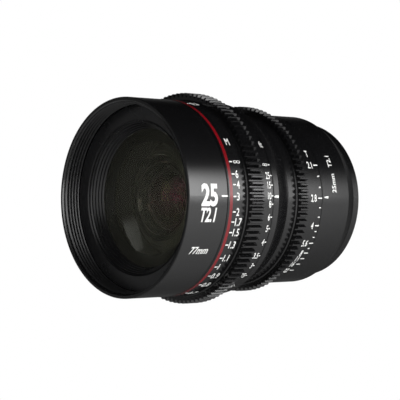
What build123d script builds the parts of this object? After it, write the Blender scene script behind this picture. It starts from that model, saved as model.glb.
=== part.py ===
from build123d import *
import math
import os

# A prime lens for film cameras, lying with its optical axis level.
# Stations count backwards from the front rim, in millimetres, and radii are taken
# from the optical axis. Directions turn about that axis: 0 is the side with the
# scales and 90 is underneath. The finished pieces are laid down so that the axis is
# Y, the front looks to -Y, the scales face +X, and the flange face is the plane Y = 0.

# Outer barrels along the axis
front_length = 20.0
running_gap = 0.3
focus_lip = 0.35
accent_width = 2.0
accent_depth = 0.75
metre_band = 7.85
focus_gear_width = 6.8
feet_band = 7.7
index_band = 3.0
neck_length = 8.7
iris_front_band = 5.0
iris_gear_width = 4.5
stop_band = 10.75
rear_barrel_length = 16.1
shoulder_length = 6.2
rim_length = 3.5
flange_stand = 0.3
edge_bevel = 0.25

# Clearances
turning_clearance = 0.05
seat_clearance = 0.05
side_clearance = 0.15
cement_gap = 0.05
cut_overrun = 1.0

# Walls, from the tube that carries everything outwards
tube_bore = 31.0
tube_wall = 2.0
sleeve_wall = 2.95
focus_ring_wall = 3.95
iris_ring_wall = 3.2
shoulder_step = 2.75
rim_wall = 0.95
skirt_wall = 2.8

# Filter thread and the stepped ring in front of the glass
filter_wall = 1.9
filter_depth = 7.9
filter_chamfer = 0.7
bezel_flange = 1.0
bezel_seat_step = 1.0
bezel_bore_inset = 0.2
bezel_steps = 5
bezel_step_length = 1.12
bezel_step_height = 0.6

# How far the tube and the front web reach
tube_in_barrel = 15.0
web_length = 4.5

# Follow gears
gear_module = 0.8
gear_rim = 1.2
pressure_angle = 20.0
dedendum_share = 1.25
tooth_bevel = 0.35

# Focus drive
sleeve_rear_inset = 0.3
sleeve_front_inset = 0.7
focus_lead = 7.0
focus_infinity_angle = 20.3
focus_near_angle = 296.6
groove_depth = 2.15
groove_end_angle = 2.5
cam_pin_radius = 1.05
cam_pin_inset = 2.0
cam_pin_count = 2
cam_pin_angle = 90.0
stop_lug_angle = 20.0
stop_margin_angle = 0.3
stop_lug_gap = 1.6
stop_block_gap = 1.0
stop_height = 2.9
stop_lug_place_angle = 40.0

# Focus carriage
carriage_gap = 0.85
carriage_wall = 2.05
carriage_web_offset = 5.4
carriage_web = 3.0
cell_wall = 1.95

# Iris
blade_count = 9
blade_thickness = 0.15
blade_gap = 0.15
blade_pivot_inset = 10.0
blade_inner_radius = 9.5
blade_outer_radius = 15.5
blade_arc_angle = 140.0
blade_tail_length = 11.0
blade_arm_width = 3.0
blade_tail_width = 2.2
pivot_pin_radius = 0.6
control_pin_radius = 0.5
smallest_opening_radius = 0.91
iris_open_angle = 20.5
iris_closed_angle = 57.0
iris_margin_angle = 1.0
slot_margin_angle = 0.8
slot_steps = 12
iris_stop_radius = 10.4
iris_plate = 0.8
rotor_plate = 1.2
rotor_bore_inset = 1.5
rotor_hub_wall = 2.95
base_plate = 1.25
iris_retainer_length = 1.2
drive_pin_radius = 1.2
drive_pin_angle = 20.0
drive_pin_inset = 0.15

# Mount
flange_plate = 1.6
shim_thickness = 0.2
mount_web = 3.2
flange_width = 7.2
spigot_wall = 2.1
spigot_length = 5.2
lug_height = 1.6
lug_setback = 2.2
lug_thickness = 1.4
lug_angle = 58.0
lug_count = 3
lock_recess_radius = 1.3
lock_recess_depth = 1.0
lock_recess_angle = 25.0
baffle_thickness = 1.0
baffle_ledge = 1.2
baffle_margin = 4.15
baffle_corner_angle = 35.4
baffle_inset = 1.0

# Screws
ring_screw_radius = 1.25
ring_screw_inset = 1.4
ring_screw_count = 3
mount_screw_radius = 1.0
mount_screw_head = 1.9
mount_screw_length = 3.6
mount_screw_count = 4
mount_screw_angle = 45.0
screw_sink = 0.1
socket_radius = 0.75
socket_depth = 0.6
socket_sides = 6
frame_screw_radius = 1.0
frame_screw_head = 2.0
frame_screw_cover = 0.25
frame_screw_count = 3
housing_screw_inset = 4.0
barrel_screw_inset = 7.1

# Lens elements. A curve is positive when its centre lies behind the face.
seat_land = 1.4
first_cell_wall = 2.0
first_front_curve = 95.0
first_thickness = 3.0
first_rear_curve = 34.0
first_rear_land = 7.0
second_seat_gap = 1.27
second_rim = 20.0
second_front_curve = 48.0
second_thickness = 2.4
second_rear_curve = 22.0
second_rear_land = 5.0
third_seat_gap = 1.48
third_rim = 17.0
third_front_curve = 45.0
third_thickness = 7.0
third_rear_curve = -60.0
focus_glass_rim = 14.0
fourth_front_curve = -40.0
fourth_thickness = 1.8
fourth_rear_curve = 28.0
fifth_thickness = 8.15
fifth_rear_curve = -36.0
sixth_seat_gap = 5.31
sixth_front_curve = 40.0
sixth_thickness = 4.5
sixth_rear_curve = -90.0
doublet_rim = 11.0
seventh_front_curve = -24.0
seventh_thickness = 1.6
seventh_rear_curve = 40.0
eighth_thickness = 5.35
eighth_rear_curve = -24.0
ninth_seat_gap = 5.15
ninth_rim = 14.0
ninth_front_curve = 70.0
ninth_thickness = 5.5
ninth_rear_curve = -30.0
tenth_seat_gap = 6.2
tenth_rim = 16.0
tenth_front_curve = 80.0
tenth_thickness = 7.0
tenth_rear_curve = -38.0

# Lens cells
cell_lip = 1.0
retainer_length = 1.3
second_retainer_length = 1.1
vertex_cover = 0.2
front_cell_floor = 3.0
front_cell_neck_wall = 4.5
rear_cell_gap = 0.2
rear_cell_flange = 4.0
rear_cell_wall = 2.0

# Stations that follow from the lengths
focus_front = front_length + running_gap
accent_front = focus_front + focus_lip
accent_rear = accent_front + accent_width
focus_gear_front = accent_rear + metre_band
focus_gear_rear = focus_gear_front + focus_gear_width
focus_rear = focus_gear_rear + feet_band
housing_front = focus_rear + running_gap
index_rear = housing_front + index_band
housing_rear = index_rear + neck_length
iris_front = housing_rear + running_gap
iris_gear_front = iris_front + iris_front_band
iris_gear_rear = iris_gear_front + iris_gear_width
iris_rear = iris_gear_rear + stop_band
barrel_front = iris_rear + running_gap
barrel_end = barrel_front + rear_barrel_length
shoulder_end = barrel_end + shoulder_length
rim_end = shoulder_end + rim_length
flange_face = rim_end + flange_stand
mount_seat = flange_face - flange_plate
shim_seat = mount_seat - shim_thickness
bezel_seat = filter_depth + bezel_flange
nose_end = filter_depth + bezel_steps * bezel_step_length
web_rear = bezel_seat + web_length
tube_rear = barrel_front + tube_in_barrel
sleeve_front = focus_front + sleeve_front_inset
sleeve_rear = focus_rear - sleeve_rear_inset

# Radii that follow from the walls and fits
tube_radius = tube_bore + tube_wall
tube_seat = tube_radius + seat_clearance
tube_running = tube_radius + turning_clearance
inside_tube = tube_bore - seat_clearance
sliding_in_tube = tube_bore - turning_clearance
sleeve_radius = tube_running + sleeve_wall
focus_bore = sleeve_radius + seat_clearance
front_radius = focus_bore + focus_ring_wall
filter_wall_radius = front_radius - filter_wall
rear_radius = tube_running + iris_ring_wall
rim_radius = rear_radius - shoulder_step
flange_radius = rim_radius - rim_wall - seat_clearance
spigot_radius = flange_radius - flange_width
spigot_bore = spigot_radius - spigot_wall
mount_screw_circle = (spigot_radius + flange_radius) / 2
blade_pivot_circle = tube_bore - blade_pivot_inset
first_rim = tube_bore - first_cell_wall

# Motion. The blades turn in step with the iris ring, and each blade's inner edge
# crosses the axis side of the opening by a chord of its pivot circle.
iris_travel = iris_open_angle + iris_closed_angle
blade_travel = 2 * math.degrees(math.asin((blade_inner_radius - smallest_opening_radius)
                                          / (2 * blade_pivot_circle)))
blade_share = blade_travel / iris_travel
focus_to_rear_travel = focus_lead * focus_near_angle / 360
focus_to_front_travel = focus_lead * focus_infinity_angle / 360


def turned(*corners):
    """Solid turned about the optical axis from (radius, station) corners."""
    outline = Polyline(*[(radius, 0, station) for radius, station in corners], close=True)
    return revolve(make_face(outline), Axis.Z, 360)


def ring(front, back, inner, outer):
    """Plain ring between two stations."""
    return turned((inner, front), (outer, front), (outer, back), (inner, back))


def band(front, back, inner, outer, bevel=edge_bevel):
    """Ring with both outer edges broken."""
    return turned((inner, front), (outer - bevel, front), (outer, front + bevel),
                  (outer, back - bevel), (outer - bevel, back), (inner, back))


def across(direction, station):
    """Place whose own Z axis runs outwards from the optical axis at a station."""
    return Pos(0, 0, station) * Rot(Z=direction) * Rot(Y=90)


def spoke(direction, station, radius, inner, outer):
    """Round pin that runs outwards from the optical axis."""
    return across(direction, station) * Pos(0, 0, inner) * extrude(Circle(radius), outer - inner)


def fan(front, back, inner, outer, direction, angle):
    """Sector of a ring, such as a lug or a stop block, centred on a direction."""
    outline = Polyline((inner, 0, front), (outer, 0, front), (outer, 0, back), (inner, 0, back), close=True)
    return Rot(Z=direction - angle / 2) * revolve(make_face(outline), Axis.Z, angle)


def turned_copies(shape, count, first=0):
    """Equal copies about the optical axis."""
    return [Rot(Z=first + 360 * number / count) * shape for number in range(count)]


def cut_all(shape, cutters):
    """Shape less every cutter."""
    for cutter in cutters:
        shape -= cutter
    return shape


def polar(radius, direction):
    """Point across the axis at a radius and a direction."""
    return radius * math.cos(math.radians(direction)), radius * math.sin(math.radians(direction))


class Glass:
    """Lens element between two vertices, with flat lands round its polished faces."""

    def __init__(self, front_seat, thickness, front_curve, rear_curve, rim, front_clear, rear_clear):
        self.front_seat = front_seat
        self.front = front_seat - sag(front_curve, front_clear)
        self.rear = self.front + thickness
        self.front_curve = front_curve
        self.rear_curve = rear_curve
        self.rim = rim
        self.front_clear = front_clear
        self.rear_clear = rear_clear
        self.rear_seat = self.rear + sag(rear_curve, rear_clear)

    def solid(self):
        """The element as one turned solid."""
        front_arc = face_arc(self.front, self.front_curve, self.front_clear)
        rear_arc = face_arc(self.rear, self.rear_curve, self.rear_clear)
        corners = [(self.front_clear, 0, self.front_seat)]
        if self.front_clear < self.rim:
            corners.append((self.rim, 0, self.front_seat))
        corners.append((self.rim, 0, self.rear_seat))
        if self.rear_clear < self.rim:
            corners.append((self.rear_clear, 0, self.rear_seat))
        edge = Polyline(*corners)
        axis_line = Line((0, 0, self.rear), (0, 0, self.front))
        return revolve(make_face(front_arc.edges() + edge.edges() + rear_arc.edges() + axis_line.edges()),
                       Axis.Z, 360)


def sag(curve, radius):
    """Depth of a spherical face between its vertex and a radius."""
    depth = abs(curve) - math.sqrt(curve * curve - radius * radius)
    return math.copysign(depth, curve)


def face_arc(vertex, curve, clear):
    """Arc of a polished face from the axis outwards."""
    middle = clear / 2
    return ThreePointArc((0, 0, vertex), (middle, 0, vertex + sag(curve, middle)),
                         (clear, 0, vertex + sag(curve, clear)))


# Lens elements, from front to rear, set seat to seat
first = Glass(nose_end, first_thickness, first_front_curve, first_rear_curve,
              first_rim, first_rim - seat_land, first_rim - first_rear_land)
second = Glass(first.rear_seat + second_seat_gap, second_thickness, second_front_curve, second_rear_curve,
               second_rim, second_rim - seat_land, second_rim - second_rear_land)
third = Glass(second.rear_seat + third_seat_gap, third_thickness, third_front_curve, third_rear_curve,
              third_rim, third_rim - seat_land, third_rim - seat_land)
front_cell_rear = third.rear + vertex_cover
carriage_front = front_cell_rear + carriage_gap
cam_pin_station = carriage_front + cam_pin_inset
focus_clear = focus_glass_rim - seat_land
fourth = Glass(carriage_front + cell_lip, fourth_thickness, fourth_front_curve, fourth_rear_curve,
               focus_glass_rim, focus_clear, focus_glass_rim)
fifth = Glass(fourth.rear_seat + cement_gap, fifth_thickness, fourth_rear_curve, fifth_rear_curve,
              focus_glass_rim, focus_glass_rim, focus_clear)
sixth = Glass(fifth.rear_seat + sixth_seat_gap, sixth_thickness, sixth_front_curve, sixth_rear_curve,
              focus_glass_rim, focus_clear, focus_clear)
carriage_rear = sixth.rear_seat + retainer_length + vertex_cover

# Iris stack, centred on the iris gear's pin
drive_pin_station = (iris_gear_front + iris_gear_rear) / 2 - drive_pin_inset
stack_depth = blade_count * (blade_thickness + blade_gap)
hub_depth = rotor_plate + blade_gap + stack_depth
rotor_front = drive_pin_station - hub_depth / 2
first_blade_station = rotor_front + rotor_plate + blade_gap
rotor_rear = rotor_front + hub_depth
base_front = rotor_rear + side_clearance
base_rear = base_front + base_plate
iris_plate_front = rotor_front - side_clearance - iris_plate
rear_cell_front = base_rear + iris_retainer_length + rear_cell_gap

doublet_clear = doublet_rim - seat_land
seventh = Glass(rear_cell_front + cell_lip, seventh_thickness, seventh_front_curve, seventh_rear_curve,
                doublet_rim, doublet_clear, doublet_rim)
eighth = Glass(seventh.rear_seat + cement_gap, eighth_thickness, seventh_rear_curve, eighth_rear_curve,
               doublet_rim, doublet_rim, doublet_clear)
ninth = Glass(eighth.rear_seat + ninth_seat_gap, ninth_thickness, ninth_front_curve, ninth_rear_curve,
              ninth_rim, ninth_rim - seat_land, ninth_rim - seat_land)
tenth = Glass(ninth.rear_seat + tenth_seat_gap, tenth_thickness, tenth_front_curve, tenth_rear_curve,
              tenth_rim, tenth_rim - seat_land, tenth_rim - seat_land)
rear_cell_rear = tenth.rear + vertex_cover


def gear_ring(ring_radius, front, back):
    """Follow gear seated on a ring, with straight-flanked teeth and bevelled tooth ends."""
    bore = ring_radius + seat_clearance
    dedendum = dedendum_share * gear_module
    teeth = round(2 * (bore + gear_rim + dedendum) / gear_module)
    pitch_radius = gear_module * teeth / 2
    tip_radius = pitch_radius + gear_module
    root_radius = pitch_radius - dedendum
    slope = math.tan(math.radians(pressure_angle))
    half_pitch = math.pi * gear_module / 4
    half_tip = half_pitch - gear_module * slope
    half_root = half_pitch + dedendum * slope
    corners = []
    for tooth in range(teeth):
        centre = 360 * tooth / teeth
        for radius, half in ((root_radius, -half_root), (tip_radius, -half_tip),
                             (tip_radius, half_tip), (root_radius, half_root)):
            corners.append(polar(radius, centre + math.degrees(half / radius)))
    blank = Pos(0, 0, front) * extrude(make_face(Polyline(*corners, close=True)), back - front)
    return blank & band(front, back, bore, tip_radius + tooth_bevel, 2 * tooth_bevel)


def frame_screw(station, allowance=0.0):
    """Countersunk screw that holds an outer ring from inside the tube, or its hole."""
    shank = frame_screw_radius + allowance
    head = frame_screw_head + allowance
    seat = tube_bore + screw_sink
    under_head = seat + head - shank
    tip = rear_radius - frame_screw_cover + allowance
    outline = Polyline((0, 0, seat), (head, 0, seat), (shank, 0, under_head), (shank, 0, tip),
                       (0, 0, tip), close=True)
    screw = revolve(make_face(outline), Axis.Z, 360)
    if allowance:
        screw += Pos(0, 0, seat - cut_overrun) * extrude(Circle(head), cut_overrun)
    else:
        screw -= Pos(0, 0, seat) * extrude(RegularPolygon(socket_radius, socket_sides), socket_depth)
    return across(0, station) * screw


def mount_screw(allowance=0.0):
    """Countersunk screw that comes in from behind the flange, or its hole."""
    shank = mount_screw_radius + allowance
    head = mount_screw_head + allowance
    top = flange_face - screw_sink
    under_head = top - (head - shank)
    tip = top - mount_screw_length - allowance
    outline = Polyline((0, 0, top), (head, 0, top), (shank, 0, under_head), (shank, 0, tip), (0, 0, tip),
                       close=True)
    screw = revolve(make_face(outline), Axis.Z, 360)
    if allowance:
        screw += Pos(0, 0, top) * extrude(Circle(head), cut_overrun)
    else:
        screw -= Pos(0, 0, top - socket_depth) * extrude(
            RegularPolygon(socket_radius, socket_sides), socket_depth)
    return Pos(mount_screw_circle, 0, 0) * screw


def mount_screws(allowance=0.0):
    """All mount screws, or the cutters for their holes."""
    return turned_copies(mount_screw(allowance), mount_screw_count, mount_screw_angle)


def frame_screws(station, allowance=0.0):
    """One ring of frame screws, or the cutters for their holes."""
    return turned_copies(frame_screw(station, allowance), frame_screw_count)


def ring_screw(allowance=0.0):
    """Grub screw between the focus ring and its sleeve, hidden by the gear, or its hole."""
    radius = ring_screw_radius + allowance
    station = focus_gear_front + ring_screw_inset
    inner = sleeve_radius - sleeve_wall / 2
    outer = front_radius - screw_sink
    if allowance:
        return spoke(0, station, radius, inner - allowance, front_radius + cut_overrun)
    socket = across(0, station) * Pos(0, 0, outer - socket_depth) * extrude(
        RegularPolygon(socket_radius, socket_sides), socket_depth)
    return spoke(0, station, radius, inner, outer) - socket


def ring_screws(allowance=0.0):
    """The grub screws of the focus ring, or the cutters for their holes."""
    return turned_copies(ring_screw(allowance), ring_screw_count)


# Fixed outer pieces

def make_front_barrel():
    """Front shell: filter bore, a web that screws on the tube, and a rear skirt."""
    skirt_bore = front_radius - skirt_wall
    seat_radius = filter_wall_radius - bezel_seat_step
    return turned((filter_wall_radius + filter_chamfer, 0), (front_radius - edge_bevel, 0),
                  (front_radius, edge_bevel), (front_radius, front_length - edge_bevel),
                  (front_radius - edge_bevel, front_length),
                  (skirt_bore, front_length), (skirt_bore, web_rear), (tube_seat, web_rear),
                  (tube_seat, bezel_seat), (seat_radius, bezel_seat), (seat_radius, filter_depth),
                  (filter_wall_radius, filter_depth), (filter_wall_radius, filter_chamfer))


def make_front_bezel():
    """Flat ring whose stepped nose holds the front element down."""
    rim_of_flange = filter_wall_radius - bezel_seat_step - seat_clearance
    corners = [(inside_tube, bezel_seat), (rim_of_flange, bezel_seat), (rim_of_flange, filter_depth)]
    for step in range(bezel_steps):
        radius = tube_bore - bezel_bore_inset - step * bezel_step_height
        station = filter_depth + step * bezel_step_length
        corners.append((radius, station))
        corners.append((radius, station + bezel_step_length))
    corners.append((inside_tube, nose_end))
    return turned(*corners)


def make_main_tube():
    """Fixed tube with straight slots for the focus pins and an arc slot for the iris pin."""
    tube = ring(bezel_seat, tube_rear, tube_bore, tube_radius)
    inner = tube_bore - cut_overrun
    outer = tube_radius + cut_overrun
    half_width = cam_pin_radius + turning_clearance
    slot_front = cam_pin_station - focus_to_front_travel - half_width - side_clearance
    slot_rear = cam_pin_station + focus_to_rear_travel + half_width + side_clearance
    slot = across(0, (slot_front + slot_rear) / 2) * Pos(0, 0, inner) * extrude(
        SlotOverall(slot_rear - slot_front, 2 * half_width), outer - inner)
    tube = cut_all(tube, turned_copies(slot, cam_pin_count, cam_pin_angle))
    sweep_angle = iris_travel + 2 * (iris_margin_angle + slot_margin_angle)
    middle = drive_pin_angle - (iris_closed_angle - iris_open_angle) / 2
    pin_way = drive_pin_radius + turning_clearance
    tube -= fan(drive_pin_station - pin_way, drive_pin_station + pin_way, inner, outer, middle, sweep_angle)
    for end in (-1, 1):
        tube -= spoke(middle + end * sweep_angle / 2, drive_pin_station, pin_way, inner, outer)
    tube = cut_all(tube, frame_screws(housing_rear - housing_screw_inset, seat_clearance))
    return cut_all(tube, frame_screws(barrel_front + barrel_screw_inset, seat_clearance))


def make_centre_housing():
    """Fixed ring with the index line, tapering down to the iris ring."""
    housing = turned((tube_seat, housing_front), (front_radius - edge_bevel, housing_front),
                     (front_radius, housing_front + edge_bevel), (front_radius, index_rear - edge_bevel),
                     (front_radius - edge_bevel, index_rear), (rear_radius, housing_rear),
                     (tube_seat, housing_rear))
    return cut_all(housing, frame_screws(housing_rear - housing_screw_inset, seat_clearance))


def make_rear_barrel():
    """Rear shell with its shoulder, rim and the web that the mount is screwed to."""
    rim_bore = rim_radius - rim_wall
    web_bore = spigot_radius + seat_clearance
    inner = rim_radius - skirt_wall
    barrel = turned((tube_seat, barrel_front), (rear_radius - edge_bevel, barrel_front),
                    (rear_radius, barrel_front + edge_bevel), (rear_radius, barrel_end),
                    (rim_radius, shoulder_end), (rim_radius, rim_end - edge_bevel),
                    (rim_radius - edge_bevel, rim_end), (rim_bore, rim_end), (rim_bore, shim_seat),
                    (web_bore, shim_seat), (web_bore, shim_seat - mount_web),
                    (inner, shim_seat - mount_web), (inner, tube_rear), (tube_seat, tube_rear))
    barrel = cut_all(barrel, frame_screws(barrel_front + barrel_screw_inset, seat_clearance))
    return cut_all(barrel, mount_screws(seat_clearance))


def make_stop_block():
    """Fixed block that the lug of the focus sleeve meets at both ends of its turn."""
    angle = 360 - focus_infinity_angle - focus_near_angle - stop_lug_angle - 2 * stop_margin_angle
    lug_middle = stop_lug_place_angle - (focus_near_angle - focus_infinity_angle) / 2
    return fan(web_rear, sleeve_front - stop_block_gap, tube_seat, tube_seat + stop_height,
               lug_middle + 180, angle)


# Focus ring and what turns with it

def make_focus_ring():
    """Turning shell with the two distance bands and the groove of the accent ring."""
    floor = front_radius - accent_depth
    shell = turned((focus_bore, focus_front), (front_radius - edge_bevel, focus_front),
                   (front_radius, focus_front + edge_bevel), (front_radius, accent_front),
                   (floor, accent_front), (floor, accent_rear), (front_radius, accent_rear),
                   (front_radius, focus_rear - edge_bevel), (front_radius - edge_bevel, focus_rear),
                   (focus_bore, focus_rear))
    return cut_all(shell, ring_screws(seat_clearance))


def make_accent_ring():
    """Coloured ring let into the front of the focus ring."""
    return ring(accent_front, accent_rear, front_radius - accent_depth + seat_clearance, front_radius)


def make_focus_gear():
    """Follow gear seated on the focus ring."""
    return gear_ring(front_radius, focus_gear_front, focus_gear_rear)


def cam_groove():
    """Helical groove for one focus pin, from infinity to the near limit."""
    start_angle = focus_infinity_angle + groove_end_angle
    total_angle = start_angle + focus_near_angle + groove_end_angle
    start_station = cam_pin_station - focus_lead * start_angle / 360
    middle = tube_radius + groove_depth / 2
    path = Helix(focus_lead, focus_lead * total_angle / 360, middle)
    depth = groove_depth + turning_clearance
    section = Plane(path @ 0, x_dir=(1, 0, 0), z_dir=path % 0) * Rectangle(
        depth, 2 * (cam_pin_radius + turning_clearance))
    groove = sweep(section, path, is_frenet=True)
    return Pos(0, 0, start_station) * Rot(Z=-start_angle) * groove


def make_cam_sleeve():
    """Sleeve inside the focus ring with the pins' helical grooves and the stop lug."""
    sleeve = ring(sleeve_front, sleeve_rear, tube_running, sleeve_radius)
    lug_front = web_rear + stop_lug_gap
    sleeve += fan(lug_front, sleeve_front, tube_running + side_clearance,
                  tube_running + stop_height, stop_lug_place_angle, stop_lug_angle)
    sleeve = cut_all(sleeve, turned_copies(cam_groove(), cam_pin_count, cam_pin_angle))
    return cut_all(sleeve, ring_screws(seat_clearance))


# Focus carriage

def make_carriage():
    """Sliding carriage: outer skirt, web and the cell of the focus group."""
    cell_bore = focus_glass_rim + seat_clearance
    cell_radius = cell_bore + cell_wall
    skirt_bore = sliding_in_tube - carriage_wall
    web_front = carriage_front + carriage_web_offset
    web_back = web_front + carriage_web
    lip = focus_clear + side_clearance
    carriage = turned((lip, carriage_front), (cell_radius, carriage_front), (cell_radius, web_front),
                      (skirt_bore, web_front), (skirt_bore, carriage_front),
                      (sliding_in_tube, carriage_front), (sliding_in_tube, carriage_rear),
                      (skirt_bore, carriage_rear), (skirt_bore, web_back),
                      (cell_radius, web_back), (cell_radius, carriage_rear), (cell_bore, carriage_rear),
                      (cell_bore, fourth.front_seat), (lip, fourth.front_seat))
    hole = spoke(0, cam_pin_station, cam_pin_radius + seat_clearance, skirt_bore - cut_overrun,
                 sliding_in_tube + cut_overrun)
    return cut_all(carriage, turned_copies(hole, cam_pin_count, cam_pin_angle))


def make_cam_pins():
    """Pins through the tube's slots into the helical grooves."""
    outer = tube_radius + groove_depth - side_clearance
    pin = spoke(0, cam_pin_station, cam_pin_radius, sliding_in_tube - carriage_wall, outer)
    return turned_copies(pin, cam_pin_count, cam_pin_angle)


# Lens cells and their rings

def bore_ring(front, back, rim):
    """Ring in a cell's bore that bears on the land of an element."""
    return ring(front, back, rim - seat_land + side_clearance, rim)


def make_front_cell():
    """Stepped cell for the three front elements."""
    neck = second_rim + front_cell_neck_wall
    first_bore = first_rim + seat_clearance
    second_bore = second_rim + seat_clearance
    third_bore = third_rim + seat_clearance
    throat = third_rim - seat_land + side_clearance
    skirt_end = first.rear_seat + front_cell_floor
    return turned((first_bore, nose_end), (inside_tube, nose_end), (inside_tube, skirt_end),
                  (neck, skirt_end), (neck, front_cell_rear), (third_bore, front_cell_rear),
                  (third_bore, third.front_seat), (throat, third.front_seat), (throat, second.rear_seat),
                  (second_bore, second.rear_seat), (second_bore, first.rear_seat),
                  (first_bore, first.rear_seat))


def make_rear_cell():
    """Stepped cell for the four rear elements, held in the tube by its flange."""
    doublet_bore = doublet_rim + seat_clearance
    ninth_bore = ninth_rim + seat_clearance
    tenth_bore = tenth_rim + seat_clearance
    lip = doublet_clear + side_clearance
    ninth_throat = ninth_rim - seat_land + side_clearance
    tenth_throat = tenth_rim - seat_land + side_clearance
    body = tenth_bore + rear_cell_wall
    flange_rear = rear_cell_front + rear_cell_flange
    retained = eighth.rear_seat + retainer_length + side_clearance
    ninth_retained = ninth.rear_seat + retainer_length + side_clearance
    return turned((lip, rear_cell_front), (inside_tube, rear_cell_front),
                  (inside_tube, flange_rear), (body, flange_rear), (body, rear_cell_rear),
                  (tenth_bore, rear_cell_rear), (tenth_bore, tenth.front_seat),
                  (tenth_throat, tenth.front_seat), (tenth_throat, ninth_retained),
                  (ninth_bore, ninth_retained), (ninth_bore, ninth.front_seat),
                  (ninth_throat, ninth.front_seat), (ninth_throat, retained), (doublet_bore, retained),
                  (doublet_bore, seventh.front_seat), (lip, seventh.front_seat))


# Iris

def control_pin_direction(closing):
    """Direction of the control pin from its pivot when the ring has closed by an angle."""
    return 90 + blade_travel / 2 - blade_share * closing


def control_pin_place(closing):
    """Place of the control pin of the blade pivoted at direction 0."""
    offset_x, offset_y = polar(blade_tail_length, control_pin_direction(closing))
    return blade_pivot_circle + offset_x, offset_y


def rotor_track(closing):
    """The same place seen from the rotor, which turns with the ring."""
    x, y = control_pin_place(closing)
    direction = math.degrees(math.atan2(y, x)) + closing - iris_open_angle
    return polar(math.hypot(x, y), direction)


def rotor_slot():
    """Curved slot that steers one control pin."""
    margin = iris_margin_angle + slot_margin_angle
    half_width = control_pin_radius + turning_clearance
    left = []
    right = []
    middle = []
    for step in range(slot_steps + 1):
        closing = -margin + (iris_travel + 2 * margin) * step / slot_steps
        x, y = rotor_track(closing)
        ahead_x, ahead_y = rotor_track(closing + margin / slot_steps)
        length = math.hypot(ahead_x - x, ahead_y - y)
        across_x, across_y = -(ahead_y - y) / length, (ahead_x - x) / length
        middle.append((x, y, across_y, -across_x))
        left.append((x + half_width * across_x, y + half_width * across_y))
        right.append((x - half_width * across_x, y - half_width * across_y))
    end_x, end_y, along_x, along_y = middle[-1]
    start_x, start_y, back_x, back_y = middle[0]
    far_end = (end_x + half_width * along_x, end_y + half_width * along_y)
    near_end = (start_x - half_width * back_x, start_y - half_width * back_y)
    outline = [Spline(*left), ThreePointArc(left[-1], far_end, right[-1]),
               Spline(*right), ThreePointArc(left[0], near_end, right[0])]
    slot = extrude(make_face(outline), rotor_plate + 2 * cut_overrun)
    return Pos(0, 0, rotor_front - cut_overrun) * slot


def make_rotor():
    """Slotted plate with the hub that the drive pin turns."""
    hub_bore = sliding_in_tube - rotor_hub_wall
    rotor_bore = blade_pivot_circle - rotor_bore_inset
    rotor = turned((rotor_bore, rotor_front), (sliding_in_tube, rotor_front), (sliding_in_tube, rotor_rear),
                   (hub_bore, rotor_rear), (hub_bore, rotor_front + rotor_plate),
                   (rotor_bore, rotor_front + rotor_plate))
    rotor = cut_all(rotor, turned_copies(rotor_slot(), blade_count))
    return rotor - spoke(drive_pin_angle, drive_pin_station, drive_pin_radius + seat_clearance,
                         hub_bore - cut_overrun, sliding_in_tube + cut_overrun)


def make_drive_pin():
    """Pin from the iris ring through the tube into the rotor."""
    return spoke(drive_pin_angle, drive_pin_station, drive_pin_radius,
                 sliding_in_tube - rotor_hub_wall + side_clearance, rear_radius - screw_sink)


def make_base_plate():
    """Fixed plate with the blades' pivot holes."""
    plate = ring(base_front, base_rear, iris_stop_radius, inside_tube)
    hole = Pos(blade_pivot_circle, 0, base_front - cut_overrun) * extrude(
        Circle(pivot_pin_radius + turning_clearance), base_plate + 2 * cut_overrun)
    return cut_all(plate, turned_copies(hole, blade_count))


def blade_outline():
    """Fully open blade pivoted at direction 0: crescent, arm and tail."""
    crescent = make_face(fan_outline(blade_inner_radius, blade_outer_radius, -blade_arc_angle, 0))
    arm_inner = (blade_inner_radius + blade_outer_radius) / 2
    half_arm = blade_arm_width / 2
    arm = Pos(arm_inner, -half_arm, 0) * Rectangle(blade_pivot_circle - arm_inner, blade_arm_width,
                                                   align=(Align.MIN, Align.CENTER))
    pivot_disc = Pos(blade_pivot_circle, 0, 0) * Circle(half_arm)
    neck = Pos(blade_pivot_circle, -half_arm / 2, 0) * Rectangle(blade_arm_width, blade_arm_width,
                                                                 align=(Align.MAX, Align.CENTER))
    tail = Pos(blade_pivot_circle, 0, 0) * Rot(Z=control_pin_direction(0)) * Rectangle(
        blade_tail_length, blade_tail_width, align=(Align.MIN, Align.CENTER))
    tail_disc = Pos(*control_pin_place(0), 0) * Circle(blade_tail_width / 2)
    return crescent + arm + pivot_disc + neck + tail + tail_disc


def fan_outline(inner, outer, start, end):
    """Edges of a flat sector of a ring."""
    middle = (start + end) / 2
    return [ThreePointArc(polar(inner, start), polar(inner, middle), polar(inner, end)),
            Line(polar(inner, end), polar(outer, end)),
            ThreePointArc(polar(outer, end), polar(outer, middle), polar(outer, start)),
            Line(polar(outer, start), polar(inner, start))]


def make_blade(number):
    """Iris blade in its own layer, with its pivot pin and control pin, at the rest opening."""
    front = first_blade_station + number * (blade_thickness + blade_gap)
    plate = Pos(0, 0, front) * extrude(blade_outline(), blade_thickness)
    pivot_end = base_rear - side_clearance
    plate += Pos(blade_pivot_circle, 0, front) * extrude(Circle(pivot_pin_radius), pivot_end - front)
    control_start = rotor_front + side_clearance
    plate += Pos(*control_pin_place(0), control_start) * extrude(
        Circle(control_pin_radius), front + blade_thickness - control_start)
    at_pivot = Pos(blade_pivot_circle, 0, 0) * Rot(Z=-blade_share * iris_open_angle)
    return Rot(Z=360 * number / blade_count) * at_pivot * Pos(-blade_pivot_circle, 0, 0) * plate


# Iris ring

def make_iris_ring():
    """Turning ring with the stop scale."""
    shell = band(iris_front, iris_rear, tube_running, rear_radius)
    return shell - spoke(drive_pin_angle, drive_pin_station, drive_pin_radius + seat_clearance,
                         tube_running - cut_overrun, rear_radius + cut_overrun)


def make_iris_gear():
    """Follow gear seated on the iris ring."""
    return gear_ring(rear_radius, iris_gear_front, iris_gear_rear)


# Mount

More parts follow.
